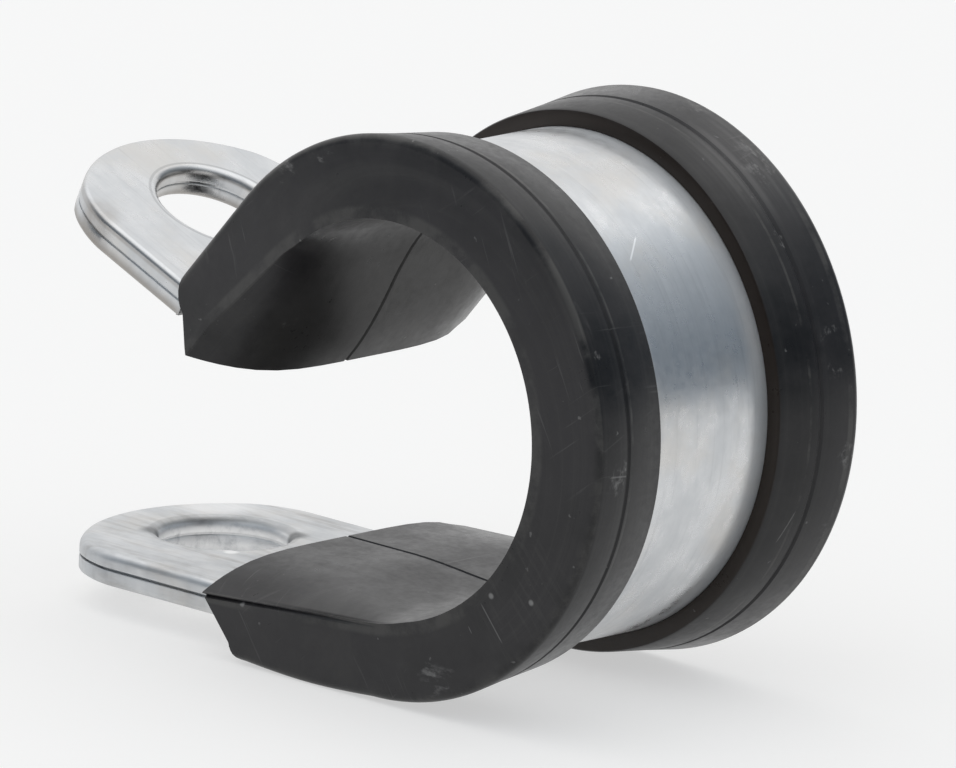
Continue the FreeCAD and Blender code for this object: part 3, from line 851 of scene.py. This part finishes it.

# painted light on the upper pad's middle, dust on the lower pad, and the handled place on the far rim
on_upper_pad = times(rubber, on_pad, ramp(rubber, rubber_far, arm_start_run - 5 * mm, arm_start_run - 1 * mm))
# painted light: the upper pad's middle is lightened
upper_pad_painted_light = times(rubber, on_upper_pad, ramp(rubber, rubber_deep, 2.2 * mm, 3.5 * mm))
skin = tint(rubber, times(rubber, upper_pad_painted_light, 0.55), skin, rubber_dust_and_painted_light)
on_lower_pad = times(rubber, on_pad, ramp(rubber, rubber_far, 30 * mm, 24 * mm))
near_dust = times(rubber, on_lower_pad, ramp(rubber, rubber_across, -1 * mm, -8 * mm, 0.08, 0.36))
near_dust = times(rubber, near_dust, ramp(rubber, rubber_far, 16 * mm, 23 * mm))
skin = tint(rubber, times(rubber, near_dust, ramp(rubber, smears, 0.3, 0.6, 0.7, 1.0)), skin, chalk)
handled = times(rubber, patch_mark(rubber, rubber_place, (6.9, 8.6, 11.7), 4.6),
                ramp(rubber, smears, 0.38, 0.62))
skin = tint(rubber, times(rubber, handled, 0.85), skin, handled_grey)


def slanted_place(lie):
    """A place on the rubber turned about Y, for marks that lie at a slant."""
    return shade(rubber, "VectorRotate", {"Vector": rubber_place, "Angle": lie}, rotation_type="Y_AXIS")


# fine scratches lying two ways over the whole skin
for lie, weight in ((radians(28), 0.13), (radians(-52), 0.1)):
    hairs = noise(rubber, stretched(rubber, slanted_place(lie), (5200, 160, 260)), 1, 2, 0.5)
    hairs = times(rubber, ramp(rubber, hairs, 0.66, 0.74), ramp(rubber, patches, 0.48, 0.6))
    skin = tint(rubber, times(rubber, hairs, weight), skin, chalk)
skin = tint(rubber, times(rubber, ramp(rubber, drawn_marks, 0.5, 0.8), 0.16), skin, rubber_dust_and_painted_light)

# painted highlights along the moulded edges, partly rubbed pale, broken up in places
lip_edge_highlight = most(rubber, band_mark(rubber, rubber_off, 4.02 * mm, 0.16 * mm),
                band_mark(rubber, rubber_off, 8.74 * mm, 0.42 * mm))
lip_edge_highlight = most(rubber, lip_edge_highlight, band_mark(rubber, rubber_off, lip_groove_at - lip_groove, 0.2 * mm))
lip_edge_highlight = times(rubber, lip_edge_highlight, ramp(rubber, rubber_deep, -1.0 * mm, -1.25 * mm))
pad_edge_highlight = times(rubber, band_mark(rubber, rubber_off, 9.33 * mm, 0.12 * mm),
                 ramp(rubber, rubber_deep, 0.6 * mm, 0.9 * mm))
edge_highlight_and_wear = times(rubber, most(rubber, lip_edge_highlight, pad_edge_highlight), ramp(rubber, mottle, 0.4, 0.62))
skin = tint(rubber, times(rubber, edge_highlight_and_wear, 0.6), skin, rubber_dust_and_painted_light)

# the lips' inner walls are brownish
lip_wall = times(rubber, band_mark(rubber, rubber_off, bare_half + far_lip_shift / 2, 0.7 * mm),
                 times(rubber, ramp(rubber, rubber_deep, -1.28 * mm, -1.15 * mm),
                       ramp(rubber, rubber_deep, -0.25 * mm, -0.42 * mm)))
skin = tint(rubber, times(rubber, lip_wall, 0.85), skin, rubber_brown)
skin = tint(rubber, times(rubber, specks, 0.4), skin, chalk)

# scuffs, nicks and fine scratches from handling: centre and size, or both ends and width
scuffs = [((3.87, -9.0, -12.04), 1.1), ((3.44, -9.06, -11.63), 0.7), ((4.35, -8.91, -12.55), 0.6),
          ((-7.6, -8.9, 10.92), 0.7), ((-5.02, -8.95, 11.92), 0.6), ((7.34, 8.32, 11.48), 1.3),
          ((6.37, 8.26, 12.04), 1.0), ((2.61, 9.01, 13.44), 1.2), ((10.25, 6.62, 8.54), 0.5),
          ((13.59, 8.73, -1.52), 0.8), ((13.52, -7.2, -0.45), 0.9), ((12.61, -8.22, 5.26), 0.5),
          ((12.82, 7.87, 4.48), 0.6), ((13.36, 7.78, 2.37), 0.6), ((12.46, 8.6, -5.59), 0.6),
          ((-9.16, -6.9, 2.38), 0.6)]
wander = shade(rubber, "TexNoise", {"Vector": rubber_place, "Scale": 900, "Detail": 3}).node.outputs["Color"]
wander = vector_math(rubber, "SUBTRACT", wander, (0.5, 0.5, 0.5))
ragged_place = shade(rubber, "VectorMath", {0: wander, 1: (2.6 * mm, 2.6 * mm, 2.6 * mm), 2: rubber_place},
                     operation="MULTIPLY_ADD")
scuffed = noise(rubber, stretched(rubber, rubber_place, (900, 2600, 2200)), 1, 4, 0.7)
scuffed = ramp(rubber, scuffed, 0.45, 0.70)
for centre, size in scuffs:
    worn = times(rubber, times(rubber, patch_mark(rubber, ragged_place, centre, size), scuffed), 0.5)
    skin = tint(rubber, worn, skin, chalk)
hatch = noise(rubber, stretched(rubber, slanted_place(radians(38)), (3600, 300, 420)), 1, 2, 0.5)
hatch = ramp(rubber, hatch, 0.52, 0.66)
hatched = times(rubber, times(rubber, patch_mark(rubber, ragged_place, (8.3, -9.3, -6.3), 5), hatch), 0.16)
skin = tint(rubber, hatched, skin, rubber_dust_and_painted_light)
nicks = [((-8.89, -9.33, -10.95), 0.2), ((9.83, -9.05, -7.11), 0.2), ((7.42, -9.28, -7.23), 0.2)]
for centre, size in nicks:
    skin = tint(rubber, times(rubber, patch_mark(rubber, rubber_place, centre, size), 0.8), skin, chalk)
hair_lines = [((6.74, -9.3, -7.66), (8.09, -9.0, -9.55), 0.09),
              ((12.73, 6.25, -4.2), (11.91, 5.7, -6.02), 0.1),
              ((13.63, -8.03, -0.35), (13.41, -6.4, -0.54), 0.1),
              ((5.9, -9.2, -8.9), (6.9, -9.2, -10.6), 0.07)]
for low_end, high_end, width in hair_lines:
    hair_line = line_mark(rubber, rubber_place, low_end, high_end, width)
    skin = tint(rubber, times(rubber, hair_line, 0.4), skin, chalk)
rubber_rough = plus(rubber, ramp(rubber, mottle, 0.3, 0.7, 0.30, 0.40),
                    ramp(rubber, fine, 0.3, 0.7, -0.04, 0.04))
rubber_relief = plus(rubber, times(rubber, fine, 0.5), times(rubber, drawn_marks, 0.5))
rubber_bump = shade(rubber, "Bump", {"Strength": 0.12, "Distance": 0.05 * mm, "Height": rubber_relief})
fill(rubber, rubber.node_tree.nodes["Principled BSDF"],
     {"Specular IOR Level": 0.36, "Base Color": skin, "Roughness": rubber_rough, "Normal": rubber_bump})
liner.data.materials.append(rubber)
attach(liner, "root")
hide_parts("rubber_liner")


# White table, under a soft dome of light and one large square lamp.
# A dim blue-grey screen, lighter towards its top, stands on the table round the front and the sides
# for the metal to reflect. It is left open at the back, and the camera doesn't see it.
table_gap = 0.01 * mm
screen_radius = 2.4
screen_height = 3.4
opening_start = 88
opening_end = 205
lamp_side = 3.4
bpy.ops.object.select_all(action="DESELECT")
bpy.ops.mesh.primitive_plane_add(size=9, location=(0, 0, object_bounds()[0].z - table_gap))
table = bpy.context.object
table.name = "table"
white_top = bpy.data.materials.new("white_table_top")
white_top.use_nodes = True
top_shader = white_top.node_tree.nodes["Principled BSDF"]
fill(white_top, top_shader,
     {"Base Color": (0.50, 0.495, 0.485, 1), "Roughness": 0.9, "Specular IOR Level": 0.0})


def looked_at(material):
    """One for what the camera, a mirror or a glass sees, nought for the light that falls on things."""
    path = shade(material, "LightPath", {}).node
    return most(material, most(material, path.outputs["Is Camera Ray"], path.outputs["Is Glossy Ray"]),
                path.outputs["Is Transmission Ray"])


top_glow = shade(white_top, "Emission", {"Strength": times(white_top, looked_at(white_top), 0.53)})
top_whole = shade(white_top, "AddShader", {0: top_shader.outputs[0], 1: top_glow})
fill(white_top, white_top.node_tree.nodes["Material Output"], {"Surface": top_whole})
table.data.materials.append(white_top)

bpy.ops.object.select_all(action="DESELECT")
bpy.ops.mesh.primitive_cylinder_add(vertices=144, radius=screen_radius, depth=screen_height,
                                    end_fill_type="NOTHING",
                                    location=(0, 0, table.location.z + screen_height / 2))
screen = bpy.context.object
screen.name = "blue_grey_screen"
bpy.ops.object.transform_apply(location=True, rotation=True, scale=True)


def in_opening(face):
    place = face.calc_center_median()
    return opening_start < degrees(atan2(place.y, place.x)) % 360 < opening_end


edit(screen, "FACE")
mark(screen, "FACE", in_opening)
bpy.ops.mesh.delete(type="FACE")
bpy.ops.object.mode_set(mode="OBJECT")
screen.visible_camera = False
screen_cloth = bpy.data.materials.new("blue_grey_cloth")
screen_cloth.use_nodes = True
cloth_height = shade(screen_cloth, "SeparateXYZ", {0: object_place(screen_cloth)}).node.outputs["Z"]
cloth_tone = tint(screen_cloth, ramp(screen_cloth, cloth_height, 0.2, 2.6),
                  (0.18, 0.215, 0.255, 1), (0.56, 0.60, 0.64, 1))
cloth_glow = shade(screen_cloth, "Emission", {"Color": cloth_tone})
fill(screen_cloth, screen_cloth.node_tree.nodes["Material Output"], {"Surface": cloth_glow})
screen.data.materials.append(screen_cloth)

world = bpy.data.worlds.new("soft_dome")
bpy.context.scene.world = world
world.use_nodes = True
dome_level = ramp(world, looked_at(world), 0, 1, 0.72, 1.0)
fill(world, world.node_tree.nodes["Background"], {"Color": (1, 1, 1, 1), "Strength": dome_level})

bpy.ops.object.light_add(type="AREA", location=(0.1, -0.1, 1.7))
lamp = bpy.context.object
lamp.data.shape = "RECTANGLE"
lamp.data.size = lamp_side
lamp.data.size_y = lamp_side
lamp.data.energy = 14
lamp.rotation_euler = (Vector((0, 0, 0)) - lamp.location).to_track_quat("-Z", "Y").to_euler()

# Camera: a long lens at the fitted viewing angle, turned a little about its own axis.
# Its aim puts the ring's middle, the origin, at its fitted place in the picture.
turn_round = radians(43.04)
height_angle = radians(13.56)
roll = radians(-2.64)
camera_distance = 1.5
pixels_per_metre = 20800.0
image_width = 956
image_height = 768
ring_middle_x = 519.3
ring_middle_y = 391.8
sensor_width = 36
right = Vector((cos(turn_round), sin(turn_round), 0))
up = Vector((-sin(turn_round) * sin(height_angle), cos(turn_round) * sin(height_angle), cos(height_angle)))
back = right.cross(up)
image_right = right * cos(roll) - up * sin(roll)
image_up = right * sin(roll) + up * cos(roll)
aim = (image_right * ((image_width / 2 - ring_middle_x) / pixels_per_metre)
       + image_up * ((ring_middle_y - image_height / 2) / pixels_per_metre))
bpy.ops.object.camera_add()
camera = bpy.context.object
camera.data.sensor_width = sensor_width
camera.data.lens = sensor_width * camera_distance / (image_width / pixels_per_metre)
camera.data.clip_start = 0.1
camera.data.clip_end = 20
camera.rotation_euler = Matrix((image_right, image_up, back)).transposed().to_euler()
camera.location = aim + back * camera_distance
bpy.context.scene.camera = camera

view = bpy.context.scene.view_settings
view.view_transform = "Standard"
